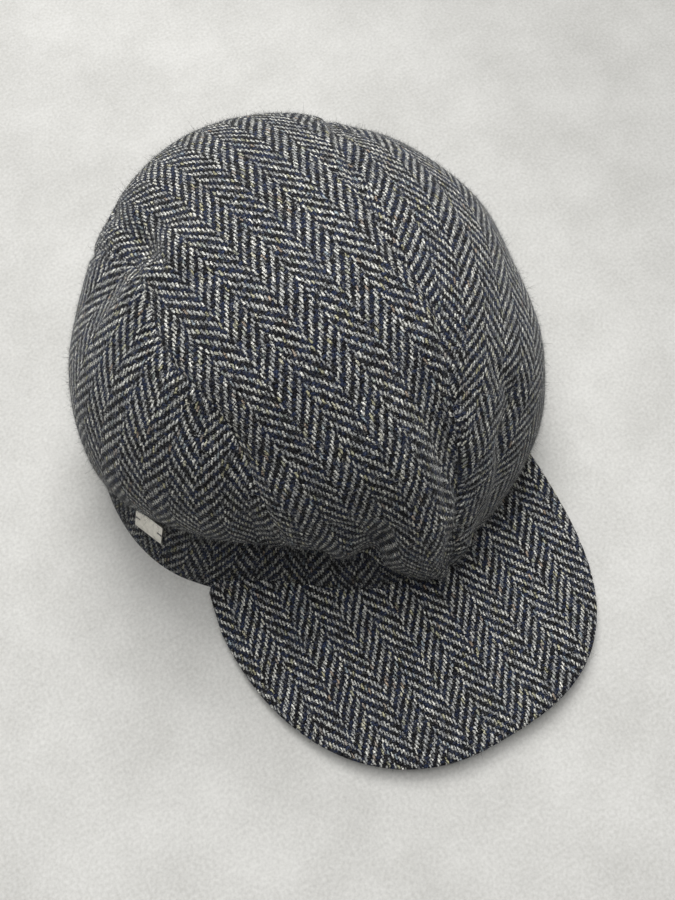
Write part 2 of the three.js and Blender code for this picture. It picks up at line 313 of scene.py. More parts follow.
def cloth_sheet(name, points):
    """An object of square faces through a grid of points (across, along), in millimetres."""
    across, along = points.shape[:2]
    at = np.arange(across * along).reshape(across, along)
    corners = (at[:-1, :-1], at[1:, :-1], at[1:, 1:], at[:-1, 1:])
    faces = np.stack(corners, -1).reshape(-1, 4)
    mesh = bpy.data.meshes.new(name)
    mesh.from_pydata((points.reshape(-1, 3) + AXIS) * MM, [], faces.tolist())
    mesh.uv_layers.new(name="cloth")
    ob = bpy.data.objects.new(name, mesh)
    bpy.context.scene.collection.objects.link(ob)
    return ob


def corner_uv(ob, flat):
    """Gives every face corner its vertex's place on the flat cloth, in millimetres."""
    corner = np.empty(len(ob.data.loops), int)
    ob.data.loops.foreach_get("vertex_index", corner)
    ob.data.uv_layers["cloth"].uv.foreach_set("vector", (flat[corner] / UV_UNIT).ravel())


def lay_flat(ob, anchor, warp, column_edge=0.0):
    """Unwraps a sheet with little stretch and turns it so that the warp at the anchor runs along V.

    anchor and warp are a point and a direction about the head's axis. column_edge is how far the
    nearest column edge lies from the anchor, across the warp.
    """
    use(ob)
    bpy.ops.object.mode_set(mode="EDIT")
    bpy.ops.mesh.select_all(action="SELECT")
    bpy.ops.uv.unwrap(method="MINIMUM_STRETCH", margin=0.0)
    bpy.ops.object.mode_set(mode="OBJECT")
    corner = np.empty(len(ob.data.loops), int)
    ob.data.loops.foreach_get("vertex_index", corner)
    uv = np.empty(len(corner) * 2)
    ob.data.uv_layers["cloth"].uv.foreach_get("vector", uv)
    flat = np.zeros((len(ob.data.vertices), 2))
    flat[corner] = uv.reshape(-1, 2)
    co = places(ob) / MM - AXIS
    quads = corner.reshape(-1, 4)
    a, b, c, d = (co[quads[:, i]] for i in range(4))
    real = np.linalg.norm(np.cross(c - a, d - b), axis=1).sum() / 2
    a, b, c, d = (flat[quads[:, i]] for i in range(4))
    run, rise = c - a, d - b
    drawn = (run[:, 0] * rise[:, 1] - run[:, 1] * rise[:, 0]).sum() / 2
    flat *= math.sqrt(real / abs(drawn))
    if drawn < 0:
        flat[:, 0] *= -1
    away = np.linalg.norm(co - anchor, axis=1)
    near = np.argsort(away)[:16]
    spread, drawn_spread = co[near] - co[near].mean(0), flat[near] - flat[near].mean(0)
    local = np.linalg.lstsq(spread, drawn_spread, rcond=None)[0]
    toward = np.asarray(warp, float) @ local
    toward /= np.linalg.norm(toward)
    turn = np.array([[toward[1], toward[0]], [-toward[0], toward[1]]])
    middle = flat[near[0]] + (np.asarray(anchor) - co[near[0]]) @ local
    flat = (flat - middle) @ turn
    flat[:, 0] -= column_edge
    corner_uv(ob, flat)
    return flat, real


# Fine creases of the soft crown, as FOLDS but narrower
CREASES = (
    ((21, 46), (12, 30), -1.3, 3.2),
    ((10, 24), (7, 6), -1.6, 3.0),
    ((46, 31), (33, 24), -1.4, 3.4),
    ((-64, 42), (-58, 34), -1.1, 3.0),
    ((-153, 12), (-131, 44), -2.6, 4.2),
    ((-150, 26), (-134, 52), 1.4, 5.0),
    ((-54, 42), (-50, 34), -1.0, 2.8),
    ((-11, -14), (-9, 11), -6.2, 6.5),
    ((-19, -30), (-17, 4), 2.4, 5.0),
    ((9, 10), (9, -22), -1.6, 2.6),
    ((14, 8), (14, -20), 1.2, 3.0),
    ((-20, 16), (-2, 22), -1.6, 4.5),
    ((2, 4), (4, -26), -1.0, 3.2),
    ((13, 2), (12, -24), -1.1, 3.4),
    ((1, 34), (9, 30), -1.0, 3.6),
    ((24, 44), (9, 12), -2.0, 2.4),
    ((28, 42), (15, 8), 1.5, 3.2),
    ((48, 38), (46, 28), -1.6, 3.6),
    ((46, 28), (36, 25), -1.4, 4.0),
    ((36, 25), (18, -12), -1.6, 4.5),
    ((30, 34), (24, 6), 1.0, 5.0),
    ((-46, 16), (-44, 2), -1.2, 3.4),
)
SEAM_DEPTH = 1.1  # how far the cloth turns in at a seam
SEAM_WIDTH = 2.1
PUCKER = 0.55  # ripples that the seam's stitches draw into the cloth
PUCKER_REACH = 9.0
PUCKER_START = 2.5
PUCKER_BEAT = 0.55  # pace of the ripples along the seam, and how it wanders
PUCKER_WANDER = 1.4
PUCKER_WANDER_BEAT = 0.083
SLACK = 0.5  # soft unevenness of the steamed cloth, which starts this far from a seam
SLACK_START = 12


def seam_points():
    """Places along both crown seams, hem to hem."""
    pitch = np.linspace(-90, 270, 1441)
    lines = [crown(*over_head(pitch, seam_angle(side, pitch))) for side in (-1, 1)]
    return np.concatenate(lines)


def waves(co, pitch, seed):
    """Smooth unevenness from -1 to 1 over places in millimetres, alike at every run."""
    rng = np.random.default_rng(seed)
    total = np.zeros(len(co))
    for _ in range(14):
        way = rng.normal(size=3)
        way /= np.linalg.norm(way)
        length = pitch * rng.uniform(0.7, 1.6)
        total += np.sin(co @ way * 2 * math.pi / length + rng.uniform(0, 2 * math.pi))
    return total / 7


def settle_cloth(ob, tree):
    """Draws a crown panel in at its seams and gives it its creases and slack."""
    co = places(ob) / MM - AXIS
    out = normals(ob)
    found = [tree.find(p) for p in co]
    away = np.array([f[2] for f in found])
    along = np.array([f[1] for f in found], float)
    push = -SEAM_DEPTH * np.exp(-((away / SEAM_WIDTH) ** 2))
    wander = PUCKER_WANDER * np.sin(along * PUCKER_WANDER_BEAT)
    ripple = np.sin(along * PUCKER_BEAT + wander)
    start = 1 - np.exp(-((away / PUCKER_START) ** 2))
    push += PUCKER * ripple * np.exp(-away / PUCKER_REACH) * start
    for first, last, depth, width in CREASES:
        push += depth * np.exp(-((near_line(co, dome(*first), dome(*last)) / width) ** 2))
    push += SLACK * waves(co, 34.0, 3) * np.clip(away / SLACK_START, 0, 1)
    put_places(ob, (co + out * push[:, None] + AXIS) * MM)


def crown_panel(name, points, anchor, warp, column_edge, tree):
    """One panel of the crown, its flat size and its flat area."""
    ob = cloth_sheet(name, points)
    flat, area = lay_flat(ob, anchor, warp, column_edge)
    shape_with(ob, "SUBSURF", levels=2, render_levels=2)
    settle_cloth(ob, tree)
    shape_with(ob, "SOLIDIFY", thickness=CROWN_CLOTH * MM, offset=-1.0)
    smooth(ob, 50)
    size = (flat.max(0) - flat.min(0)) * MM
    return ob, size, area * MM * MM


def smooth(ob, degrees):
    use(ob)
    bpy.ops.object.shade_smooth_by_angle(angle=math.radians(degrees))


def crown_panels():
    """The three crown panels, each with its flat size and area."""
    seams = seam_points()
    tree = kdtree.KDTree(len(seams))
    for i, p in enumerate(seams):
        tree.insert(p, i)
    tree.balance()
    made = {}
    t = np.linspace(0, 1, 81)[None, :]
    s = np.linspace(0, 1, 25)[:, None]
    pitch = -90 + 360 * t
    right = seam_angle(-1, pitch) + SEAM_HALF
    left = seam_angle(1, pitch) - SEAM_HALF
    points = crown(*over_head(pitch + 0 * s, right + (left - right) * s))
    made["crown_centre"] = crown_panel(
        "tweed_crown_centre", points, crown(-56.1, 88.0), (0.18, -0.975, -0.1), COLUMN, tree
    )
    t = np.linspace(0, 1, 65)[None, :]
    for side, node, anchor, warp, edge in (
        (1, "crown_left", (83.3, 43.4), (0.22, 0.97, 0.05), COLUMN),
        (-1, "crown_right", (-127.1, 25.3), (0.88, 0.24, 0.40), 0.0),
    ):
        pitch = 180 * t + 0 * s
        azimuth, rise = over_head(pitch, seam_angle(side, pitch) + side * SEAM_HALF)
        down = s if side > 0 else 1 - s
        points = crown(azimuth, rise + (-90 - rise) * down)
        made[node] = crown_panel("tweed_" + node, points, crown(*anchor), warp, edge, tree)
    return made


def band_piece():
    """The outer band, seamed at the back, as a thick strip."""
    azimuth = np.linspace(180, 540, 145)[:, None]
    z = np.linspace(0, BAND_HEIGHT, 10)[None, :]
    radius = band_radius(azimuth, z)
    points = around(azimuth, radius, z)
    ob = cloth_sheet("tweed_band", points)
    step = np.linalg.norm(np.diff(points[:, 4], axis=0), axis=1)
    run = np.concatenate([[0], np.cumsum(step)])
    flat = np.stack([run[:, None] + 0 * z, z + 0 * azimuth], -1).reshape(-1, 2)
    corner_uv(ob, flat)
    shape_with(ob, "SUBSURF", levels=2, render_levels=2)
    co = places(ob) / MM - AXIS
    out = normals(ob)
    edge = np.exp(-((co[:, 2] / HEM_TURN_TALL) ** 2))
    turn = np.degrees(np.arctan2(co[:, 0], -co[:, 1]))
    # Its edge rounds in only where no peak is sewn to it
    free = np.clip((np.maximum(PEAK_AZIMUTH_RIGHT - turn, turn - PEAK_AZIMUTH_LEFT) + 2) / 6, 0, 1)
    push = -HEM_TURN * edge * free + BAND_SLACK * waves(co, 30.0, 5) * (1 - edge)
    back = np.abs(co[:, 0]) + 99 * (co[:, 1] <= 0)
    push -= BACK_SEAM * np.exp(-((back / BACK_SEAM_WIDE) ** 2))
    put_places(ob, (co + out * push[:, None] + AXIS) * MM)
    shape_with(ob, "SOLIDIFY", thickness=BAND_CLOTH * MM, offset=-1.0)
    co = places(ob)
    co[:, 2] = np.clip(co[:, 2], 0, BAND_HEIGHT * MM)
    put_places(ob, co)
    smooth(ob, 50)
    return ob, (run[-1] * MM, BAND_HEIGHT * MM)


def peak_edge(s):
    """Outline of the peak from its right corner round the tip to its left corner."""
    straight = PEAK_STRAIGHT
    corner_right, corner_left = (
        around(azimuth, band_radius(azimuth, 0) + PEAK_CORNER, 0.0)
        for azimuth in (PEAK_AZIMUTH_RIGHT, PEAK_AZIMUTH_LEFT)
    )
    start = np.array([PEAK_CENTRE_X - PEAK_HALF, PEAK_ROUND_Y, 0])
    end = np.array([PEAK_CENTRE_X + PEAK_HALF, PEAK_ROUND_Y, 0])
    turn = np.radians(-90 + 180 * np.clip((s - straight) / (1 - 2 * straight), 0, 1))
    power = 2 / np.where(turn < 0, PEAK_ROUND_RIGHT, PEAK_ROUND_LEFT)
    x = PEAK_CENTRE_X + PEAK_HALF * np.sign(turn) * np.abs(np.sin(turn)) ** power
    y = PEAK_ROUND_Y - PEAK_REACH * np.abs(np.cos(turn)) ** power
    curve = np.stack([x, y, 0 * x], -1)
    first = corner_right + (start - corner_right) * (s / straight)[..., None]
    last = corner_left + (end - corner_left) * ((1 - s) / straight)[..., None]
    out = np.where((s < straight)[..., None], first, curve)
    return np.where((s > 1 - straight)[..., None], last, out)


def peak_under(x):
    """Height of the peak's under side."""
    across = (x - PEAK_CENTRE_X) / PEAK_HALF
    return PEAK_CLEAR + PEAK_ARCH * np.maximum(1 - across**2, 0) + PEAK_LIFT * (across + 1) / 2


def peak_piece():
    """The stiff peak: board and two cloths as one closed body, seamed round its edge."""
    s = np.linspace(0, 1, 241)
    azimuth = PEAK_AZIMUTH_RIGHT + (PEAK_AZIMUTH_LEFT - PEAK_AZIMUTH_RIGHT) * s
    inner = around(azimuth, band_radius(azimuth, 0.0) + PEAK_TO_CLOTH, 0.0)
    outer = peak_edge(s)
    rounding = PEAK_ROUNDED * np.sin(np.linspace(0, 1, 11)[1:] * math.pi / 2)
    share = np.concatenate([np.linspace(0, 1 - PEAK_ROUNDED, 72), 1 - PEAK_ROUNDED + rounding])
    middle = inner[:, None] + (outer - inner)[:, None] * share[None, :, None]
    level = peak_under(middle[..., 0]) + PEAK_THICK / 2
    edge = np.clip((1 - share) / PEAK_ROUNDED, 0, 1)
    full = PEAK_EDGE + (1 - PEAK_EDGE) * np.sqrt(1 - (1 - edge) ** 2)
    from_band = share * np.linalg.norm(outer - inner, axis=1)[:, None]
    tuck = SEAM_TUCK * np.exp(-((from_band / SEAM_TUCK_WIDE) ** 2))
    uneven = PEAK_SLACK * waves(middle.reshape(-1, 3), 26.0, 9).reshape(level.shape) * edge
    upper, lower = middle.copy(), middle.copy()
    upper[..., 2] = level + PEAK_THICK / 2 * full - tuck + uneven
    lower[..., 2] = level - PEAK_THICK / 2 * full
    meet = around(azimuth, band_radius(azimuth, upper[:, 0, 2]) + PEAK_TO_CLOTH, 0.0) - inner
    near = np.clip(1 - from_band / PEAK_FOLLOW, 0, 1) ** 2
    upper[..., :2] += (meet[:, None] * near[..., None])[..., :2]
    way = outer - inner
    way /= np.linalg.norm(way, axis=1)[:, None]
    groove = middle[:, -1:] - way[:, None] * EDGE_GROOVE
    groove[..., 2] = level[:, -1:]
    rings = np.concatenate([lower, groove, upper[:, ::-1]], 1)
    ob = closed_strip("tweed_peak", rings, len(share))
    flat = rings[..., :2] - np.array([PEAK_COLUMN_EDGE, 0])
    corner_uv(ob, flat.reshape(-1, 2))
    smooth(ob, 70)
    return ob


def closed_strip(name, rings, half):
    """A closed body of rings that run along the under side and back along the top."""
    across, along = rings.shape[:2]
    at = np.arange(across * along).reshape(across, along)
    turned = np.concatenate([at, at[:, :1]], 1)
    corners = (turned[:-1, :-1], turned[1:, :-1], turned[1:, 1:], turned[:-1, 1:])
    faces = np.stack(corners, -1).reshape(-1, 4).tolist()
    for end, way in ((0, 1), (across - 1, -1)):
        for k in range(half - 1):
            ring = [at[end, k], at[end, k + 1], at[end, along - 2 - k], at[end, along - 1 - k]]
            faces.append([int(v) for v in ring[::way]])
        tip = [at[end, half - 1], at[end, half], at[end, half + 1]]
        faces.append([int(v) for v in tip[::way]])
    mesh = bpy.data.meshes.new(name)
    mesh.from_pydata((rings.reshape(-1, 3) + AXIS) * MM, [], faces)
    mesh.uv_layers.new(name="cloth")
    ob = bpy.data.objects.new(name, mesh)
    bpy.context.scene.collection.objects.link(ob)
    use(ob)
    bpy.ops.object.mode_set(mode="EDIT")
    bpy.ops.mesh.select_all(action="SELECT")
    bpy.ops.mesh.normals_make_consistent(inside=False)
    bpy.ops.object.mode_set(mode="OBJECT")
    return ob


NAP = (0.06, 0.9, 3.0)  # width, least and greatest length of the short fibres
LOOSE = (0.10, 2.5, 7.5)  # the same of the few long hairs
NAP_PER_AREA = 1.6e6  # short fibres to a square metre of crown cloth
NAP_BAND_PEAK = 26000  # and on the band and the peak together
LOOSE_CROWN = 5000
LOOSE_BAND_PEAK = 1500
FIBRE_LIFT = (0.45, 0.95)  # 0 lies along the cloth, 1 stands on it
FIBRE_BEND = 0.3  # how far it curls to any side, and how far it droops
FIBRE_DROOP = 0.35
FIBRE_FACING = 0.15  # least turn outward of a face that carries fibres
FIBRE_ROOT = 0.1  # how deep a fibre starts in the cloth
FIBRE_LOWEST = 0.05  # least height above the floor


def outer_triangles(ob, centre):
    """Corners, normals and areas of a piece's triangles that face away from a point."""
    ob.data.calc_loop_triangles()
    rows = np.empty(len(ob.data.loop_triangles) * 3, int)
    ob.data.loop_triangles.foreach_get("vertices", rows)
    corners = (places(ob) / MM - AXIS)[rows.reshape(-1, 3)]
    cross = np.cross(corners[:, 1] - corners[:, 0], corners[:, 2] - corners[:, 0])
    area = np.linalg.norm(cross, axis=1) / 2
    normal = cross / np.maximum(area[:, None] * 2, 1e-9)
    away = corners.mean(1) - centre
    away /= np.linalg.norm(away, axis=1)[:, None]
    keep = ((normal * away).sum(1) > FIBRE_FACING) & (area > 1e-6)
    return corners[keep], normal[keep], area[keep]


def fibres(name, cloths, centre, count, kind, seed):
    """Fine bent fibres on the outer faces of some pieces, as one piece of narrow strips."""
    wide, short, long = kind
    rng = np.random.default_rng(seed)
    found = [outer_triangles(ob, np.array(centre, float)) for ob in cloths]
    corners, normal, area = (np.concatenate(part) for part in zip(*found))
    pick = rng.choice(len(area), count, p=area / area.sum())
    a, b = rng.random((2, count, 1))
    a, b = np.where(a + b > 1, 1 - a, a), np.where(a + b > 1, 1 - b, b)
    at = corners[pick]
    root = at[:, 0] + a * (at[:, 1] - at[:, 0]) + b * (at[:, 2] - at[:, 0])
    out = normal[pick]
    loose = rng.normal(size=(count, 3))
    flat = loose - (loose * out).sum(1)[:, None] * out
    flat /= np.linalg.norm(flat, axis=1)[:, None]
    lift = rng.uniform(*FIBRE_LIFT, (count, 1))
    way = flat * (1 - lift) + out * lift
    bend = rng.normal(size=(count, 3)) * FIBRE_BEND - out * lift * FIBRE_DROOP
    length = short + (long - short) * rng.random((count, 1)) ** 2
    side = np.cross(way, rng.normal(size=(count, 3)))
    side *= wide / 2 / np.linalg.norm(side, axis=1)[:, None]
    stages = (0.0, 0.5) if kind is NAP else (0.0, 0.3, 0.65)
    rows = []
    for t in stages:
        middle = root - out * FIBRE_ROOT + length * (way * t + bend * t * t)
        rows += [middle - side * (1 - t / 2), middle + side * (1 - t / 2)]
    rows.append(root - out * FIBRE_ROOT + length * (way + bend))
    points = np.stack(rows, 1)
    points[..., 2] = np.maximum(points[..., 2], FIBRE_LOWEST)
    first = (np.arange(count) * len(rows))[:, None]
    faces = []
    for k in range(len(stages) - 1):
        faces += (first + np.array([0, 1, 3, 2]) + 2 * k).tolist()
    faces += (first + np.array([0, 1, 2]) + 2 * len(stages) - 2).tolist()
    mesh = bpy.data.meshes.new(name)
    mesh.from_pydata((points.reshape(-1, 3) + AXIS) * MM, [], faces)
    ob = bpy.data.objects.new(name, mesh)
    bpy.context.scene.collection.objects.link(ob)
    return ob


# The plaque, in millimetres
PLAQUE_LONG = 15.4
PLAQUE_TALL = 9.8
PLAQUE_THICK = 1.0
PLAQUE_AZIMUTH = -78.0
PLAQUE_LEVEL = 16.4
PLAQUE_TURN = -12.0
PLAQUE_SPAN = 8.0
PLAQUE_OFF_BAND = 0.75
SLIT_LONG = 2.0
SLIT_TALL = 0.7
SLIT_INSET = 1.7
PLATE_CORNER = 0.5
PLATE_EDGE = 0.14
THREAD_RADIUS = 0.15
THREAD_APART = 0.26
PLATE_TURN_LEAST = 40  # edges that turn more than this many degrees are worn round


def on_band(azimuth, z):
    return Vector(around(azimuth, band_radius(azimuth, z), z).tolist())


def plaque_place():
    """Where the plaque lies: x along it, y into the band, z up it, in metres."""
    half, aside = PLAQUE_SPAN / 2, PLAQUE_LONG / RIM_RADIUS * 90 / math.pi
    low, high = (on_band(PLAQUE_AZIMUTH, PLAQUE_LEVEL + k) for k in (-half, half))
    ahead, behind = (on_band(PLAQUE_AZIMUTH + k, PLAQUE_LEVEL) for k in (aside, -aside))
    along = (ahead - behind).normalized()
    out = along.cross(high - low).normalized()
    up = out.cross(along).normalized()
    place = (ahead + behind) / 2 + out * (PLAQUE_OFF_BAND + PLAQUE_THICK / 2) + Vector(AXIS)
    turn = Matrix((along, -out, up)).transposed().to_4x4()
    turn.translation = place * MM
    return turn @ Matrix.Rotation(math.radians(PLAQUE_TURN), 4, "Y")


def block(name, size, place):
    """A box at its size and place, in millimetres, with its place in its mesh."""
    bpy.ops.object.select_all(action="DESELECT")
    bpy.ops.mesh.primitive_cube_add(size=1, location=Vector(place) * MM)
    ob = bpy.context.object
    ob.name = name
    ob.data.name = name
    ob.scale = Vector(size) * MM
    bpy.ops.object.transform_apply(location=True, rotation=True, scale=True)
    return ob


def plaque_piece():
    """The metal plate with rounded corners and a sewing slit at each short end, and its threads."""
    plate = block("plaque_plate", (PLAQUE_LONG, PLAQUE_THICK, PLAQUE_TALL), (0, 0, 0))
    weight = plate.data.attributes.new("bevel_weight_edge", "FLOAT", "EDGE")
    for e in plate.data.edges:
        y0, y1 = (plate.data.vertices[v].co.y for v in e.vertices)
        if abs(y0 - y1) > PLAQUE_THICK / 2 * MM:
            weight.data[e.index].value = 1.0
    shape_with(plate, "BEVEL", limit_method="WEIGHT", width=PLATE_CORNER * MM, segments=4)
    for side in (-1, 1):
        x = side * (PLAQUE_LONG / 2 - SLIT_INSET)
        cutter = block("slit", (SLIT_LONG, 3, SLIT_TALL), (x, 0, 0))
        use(plate)
        cut = plate.modifiers.new("slit", "BOOLEAN")
        cut.operation = "DIFFERENCE"
        cut.object = cutter
        cut.solver = "EXACT"
        bpy.ops.object.modifier_apply(modifier=cut.name)
        bpy.data.objects.remove(cutter)
    worn = {"angle_limit": math.radians(PLATE_TURN_LEAST), "width": PLATE_EDGE * MM, "segments": 3}
    shape_with(plate, "BEVEL", limit_method="ANGLE", **worn)
    smooth(plate, 35)
    threads = []
    for side in (-1, 1):
        for z in (-THREAD_APART / 2, THREAD_APART / 2):
            threads.append(stitch(f"plaque_thread_{len(threads)}", side, z))
    use(threads[0])
    for t in threads:
        t.select_set(True)
    bpy.ops.object.join()
    thread = bpy.context.object
    thread.name = "plaque_thread"
    turn = plaque_place()
    for ob in (plate, thread):
        ob.data.transform(turn)
    return plate, thread


def stitch(name, side, z):
    """One turn of thread that lies along a slit, from its inner end over the plate's short end."""
    radius = THREAD_RADIUS
    inner = side * (PLAQUE_LONG / 2 - SLIT_INSET - SLIT_LONG / 2 + 0.25)
    outer = side * (PLAQUE_LONG / 2 - SLIT_INSET + SLIT_LONG / 2)
    end = side * (PLAQUE_LONG / 2 + 0.2)
    front = -PLAQUE_THICK / 2
    path = [
        (inner, 0.7, z),
        (inner + side * 0.1, 0.1, z),
        (inner + side * 0.5, front + 0.25, z * 1.1),
        (outer - side * 0.3, front + 0.1, z * 1.1),
        (outer, front - radius, z),
        (end - side * 0.15, front - radius, z),
        (end + side * 0.1, front + 0.4, z),
        (end, 1.1, z),
    ]
    curve = bpy.data.curves.new(name, "CURVE")
    curve.dimensions = "3D"
    curve.bevel_depth = radius * MM
    curve.bevel_resolution = 2
    curve.resolution_u = 3
    curve.use_fill_caps = True
    spline = curve.splines.new("NURBS")
    spline.points.add(len(path) - 1)
    for point, place in zip(spline.points, path):
        point.co = (*(Vector(place) * MM), 1)
    spline.use_endpoint_u = True
    spline.order_u = 3
    ob = bpy.data.objects.new(name, curve)
    bpy.context.scene.collection.objects.link(ob)
    use(ob)
    bpy.ops.object.convert(target="MESH")
    ob = bpy.context.object
    bpy.ops.object.shade_smooth()
    return ob


# Materials


class Shade:
    """A material's node tree, with short calls for its nodes."""

    def __init__(self, name):
        self.material = bpy.data.materials.new(name)
        self.material.use_nodes = True
        self.tree = self.material.node_tree
        self.surface = self.tree.nodes["Principled BSDF"]

    def node(self, kind, inputs=(), **settings):
        node = self.tree.nodes.new("ShaderNode" + kind)
        for name, value in settings.items():
            setattr(node, name, value)
        for name, value in dict(inputs).items():
            self.put(node.inputs[name], value)
        return node

    def put(self, socket, value):
        if isinstance(value, bpy.types.NodeSocket):
            self.tree.links.new(value, socket)
        else:
            socket.default_value = value

    def maths(self, operation, *values):
        node = self.node("Math", operation=operation)
        for socket, value in zip(node.inputs, values):
            self.put(socket, value)
        return node.outputs[0]

    def add(self, *values):
        total = values[0]
        for value in values[1:]:
            total = self.maths("ADD", total, value)
        return total

    def times(self, *values):
        total = values[0]
        for value in values[1:]:
            total = self.maths("MULTIPLY", total, value)
        return total

    def vector(self, x=0.0, y=0.0, z=0.0):
        return self.node("CombineXYZ", {"X": x, "Y": y, "Z": z}).outputs[0]

    def noise(self, vector, scale, detail=2.0, **inputs):
        return self.node("TexNoise", {"Vector": vector, "Scale": scale, "Detail": detail, **inputs})

    def hump(self, x):
        """1 - (2x - 1) squared: 0 at 0 and 1, 1 halfway."""
        edge = self.maths("MULTIPLY_ADD", x, 2.0, -1.0)
        return self.maths("SUBTRACT", 1.0, self.maths("MULTIPLY", edge, edge))

    def ease(self, x, low, high):
        ends = {"Value": x, "From Min": low, "From Max": high}
        return self.node("MapRange", ends, interpolation_type="SMOOTHSTEP").outputs[0]

    def grey(self, x):
        return self.node("CombineColor", {0: x, 1: x, 2: x}).outputs[0]

    def ramp(self, x, stops):
        node = self.node("ValToRGB", {"Fac": x})
        ramp = node.color_ramp
        while len(ramp.elements) < len(stops):
            ramp.elements.new(0.5)
        for element, (place, colour) in zip(ramp.elements, stops):
            element.position = place
            element.color = (*colour, 1)
        return node.outputs[0]

    def mix(self, share, a, b, blend="MIX"):
        node = self.node("Mix", data_type="RGBA", blend_type=blend)
        for name, value in (("Factor", share), ("A", a), ("B", b)):
            found = [x for x in node.inputs if x.name == name and x.enabled]
            if isinstance(value, tuple):
                value = (*value, 1)
            self.put(found[0], value)
        return [x for x in node.outputs if x.enabled][0]


def tweed(name, painted_shade_factor=1.0):
    """Two by two herringbone twill: light wool ends over near-black and navy picks. Its second
    argument dims the light ends as painted shade.
    """
    g = Shade(name)
    uv = g.node("UVMap", uv_map="cloth").outputs[0]
    split = g.node("SeparateXYZ", {"Vector": uv})
    wander = g.node("SeparateColor", {"Color": g.noise(uv, 6.0).outputs["Color"]})
    tremor = g.node("SeparateColor", {"Color": g.noise(uv, 55.0, 1.0).outputs["Color"]})
    across = g.add(
        g.maths("MULTIPLY", split.outputs[0], UV_UNIT),
        g.maths("MULTIPLY_ADD", wander.outputs[0], 2.2, -1.1),
        g.maths("MULTIPLY_ADD", tremor.outputs[0], 1.0, -0.5),
    )
    along = g.add(
        g.maths("MULTIPLY", split.outputs[1], UV_UNIT),
        g.maths("MULTIPLY_ADD", wander.outputs[1], 2.6, -1.3),
        g.maths("MULTIPLY_ADD", tremor.outputs[1], 1.5, -0.75),
    )
    pick = g.maths("DIVIDE", along, REPEAT / 4)
    end = g.maths("DIVIDE", across, COLUMN / ENDS)
    end_number = g.maths("FLOOR", end)
    end_share = g.maths("FRACT", end)
    column = g.maths("FLOOR", g.maths("DIVIDE", across, COLUMN))
    odd = g.maths("FLOORED_MODULO", column, 2.0)
    even_sign = g.maths("MULTIPLY_ADD", odd, -2.0, 1.0)
    in_column = g.maths("SUBTRACT", end_number, g.times(column, float(ENDS)))
    step = g.add(g.times(in_column, even_sign), g.times(odd, 3.0))
    beat = g.add(pick, step)
    turn = g.maths("FLOORED_MODULO", beat, 4.0)
    # A light end shows for two picks of four, a little longer than the picks it passes
    centred = g.maths("SUBTRACT", g.maths("FLOORED_MODULO", g.add(beat, 0.5), 4.0), 1.5)
    reach = g.maths("DIVIDE", centred, 1.16)
    length = g.maths("SUBTRACT", 1.0, g.times(reach, reach))
    light_top = g.maths(
        "SQRT", g.maths("MAXIMUM", g.times(g.maths("MAXIMUM", length, 0.0), g.hump(end_share)), 0.0)
    )
    # A dark pick crosses two ends where both are down
    place = g.maths("SUBTRACT", g.maths("FLOOR", turn), 2.0)
    swapped = g.maths("SUBTRACT", 1.0, place)
    from_side = g.add(g.times(place, g.maths("SUBTRACT", 1.0, odd)), g.times(swapped, odd))
    over_two = g.maths("DIVIDE", g.add(from_side, end_share), 2.0)
    dark_top = g.maths(
        "SQRT",
        g.maths("MAXIMUM", g.times(g.hump(over_two), g.hump(g.maths("FRACT", pick))), 0.0),
    )
    scatter = g.noise(uv, 130.0, 2.0, Distortion=1.5).outputs["Fac"]
    ragged = g.maths("MULTIPLY_ADD", scatter, 3.2, -1.6)
    light = g.ease(g.add(light_top, ragged), 0.44, 0.84)
    # Fibres lie along each yarn
    along_ends = g.vector(g.times(across, 5.0), g.times(along, 1.3))
    along_picks = g.vector(g.times(across, 1.3), g.times(along, 4.0))
    fibre_light = g.noise(along_ends, 1.0, 3.0).outputs["Fac"]
    fibre_dark = g.noise(along_picks, 1.0, 3.0).outputs["Fac"]
    # Each float has its own tone, and dyed flecks run through some yarns
    float_number = g.maths("FLOOR", g.maths("DIVIDE", beat, 4.0))
    float_place = g.vector(end_number, float_number)
    own = g.node("TexWhiteNoise", {"Vector": float_place}, noise_dimensions="2D")
    pick_number = g.maths("FLOOR", pick)
    own_dark = g.node(
        "TexWhiteNoise",
        {"Vector": g.vector(pick_number, g.maths("FLOOR", g.times(end, 0.5)))},
        noise_dimensions="2D",
    )
    patch = g.noise(uv, 13.0, 2.0).outputs["Fac"]
    light_colour = g.ramp(
        own.outputs["Value"],
        (
            (0.0, (0.24, 0.245, 0.25)),
            (0.30, (0.40, 0.405, 0.395)),
            (0.62, (0.54, 0.54, 0.50)),
            (0.84, (0.68, 0.67, 0.62)),
            (0.90, (0.40, 0.38, 0.24)),
            (0.955, (0.25, 0.30, 0.34)),
            (1.0, (0.36, 0.28, 0.21)),
        ),
    )
    dark_colour = g.ramp(
        g.add(g.times(own_dark.outputs["Value"], 0.45), g.times(patch, 0.55)),
        (
            (0.0, (0.004, 0.004, 0.005)),
            (0.42, (0.009, 0.009, 0.011)),
            (0.56, (0.012, 0.015, 0.028)),
            (0.72, (0.016, 0.023, 0.050)),
            (0.86, (0.030, 0.034, 0.036)),
        ),
    )
    # Painted shade: each yarn is lighter along its top and darker toward its sides, as light falls
    # on a round yarn, times the streaks of its fibres
    light_yarn_painted_shade_and_fibres = g.times(
        g.maths("MULTIPLY_ADD", light_top, 0.55 * painted_shade_factor, 0.45 * painted_shade_factor),
        g.maths("MULTIPLY_ADD", fibre_light, 1.2, 0.46),
    )
    dark_yarn_painted_shade_and_fibres = g.times(
        g.maths("MULTIPLY_ADD", dark_top, 0.9, 0.35), g.maths("MULTIPLY_ADD", fibre_dark, 1.4, 0.3)
    )
    lit = g.mix(1.0, light_colour, g.grey(light_yarn_painted_shade_and_fibres), "MULTIPLY")
    unlit = g.mix(1.0, dark_colour, g.grey(dark_yarn_painted_shade_and_fibres), "MULTIPLY")
    colour = g.mix(light, unlit, lit)
